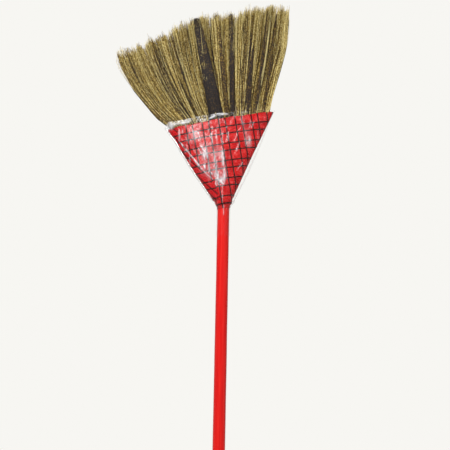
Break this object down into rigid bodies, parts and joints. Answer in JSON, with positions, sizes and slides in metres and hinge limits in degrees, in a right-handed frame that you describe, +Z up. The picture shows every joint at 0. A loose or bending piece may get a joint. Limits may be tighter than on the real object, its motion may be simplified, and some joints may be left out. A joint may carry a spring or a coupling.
{
  "type": "grass broom",
  "caption": "Fan-shaped grass broom with a long film-covered stick handle, a checked film cover round the neck of the fan and a hang hole in the end cap.",
  "frame": {"origin": "centre of the hang hole in the end cap", "axes": "+Z up along the handle, from the hang hole to the fan of grass; +X across the fan, to the right as seen from the front; +Y through the thickness, from the front to the back"},
  "size_m": [0.3593, 0.048, 1.3074],
  "materials": {
    "bare_wood": "plain sanded wood",
    "red_film": "shrunk plastic film, semi-gloss",
    "red_cap": "moulded plastic, satin",
    "steel_nail": "bright wire nail",
    "steel_wire": "galvanised wire",
    "bamboo": "split bamboo",
    "twine": "twisted twine",
    "printed_film": "red film printed with a dark double-line check",
    "clear_film": "clear wrinkled film",
    "grass": "dried grass stalks",
    "dark_grass": "dried grass stalks, dark"
  },
  "bodies": {
    "root": {"handle_stick": "bare_wood", "handle_film": "red_film", "end_cap": "red_cap", "neck_nail": "steel_nail", "neck_binding": "steel_wire", "splint_front": "bamboo", "splint_back": "bamboo", "splint_lashings": "twine", "cover_front": "printed_film", "cover_back": "printed_film", "cover_side_fold": "printed_film", "clear_sleeve": "clear_film", "sheaf_front_01": "grass", "sheaf_front_02": "grass", "sheaf_front_03": "grass", "sheaf_front_04": "grass", "sheaf_front_05": "grass", "sheaf_front_06": "grass", "sheaf_front_07": "dark_grass", "sheaf_front_08": "grass", "sheaf_front_09": "grass", "sheaf_front_10": "grass", "sheaf_front_11": "grass", "sheaf_front_12": "grass", "sheaf_front_13": "grass", "sheaf_back_01": "grass", "sheaf_back_02": "grass", "sheaf_back_03": "grass", "sheaf_back_04": "grass", "sheaf_back_05": "grass", "sheaf_back_06": "grass", "sheaf_back_07": "dark_grass", "sheaf_back_08": "grass", "sheaf_back_09": "grass", "sheaf_back_10": "grass", "sheaf_back_11": "grass", "sheaf_back_12": "grass", "sheaf_back_13": "grass"}
  },
  "joints": []
}
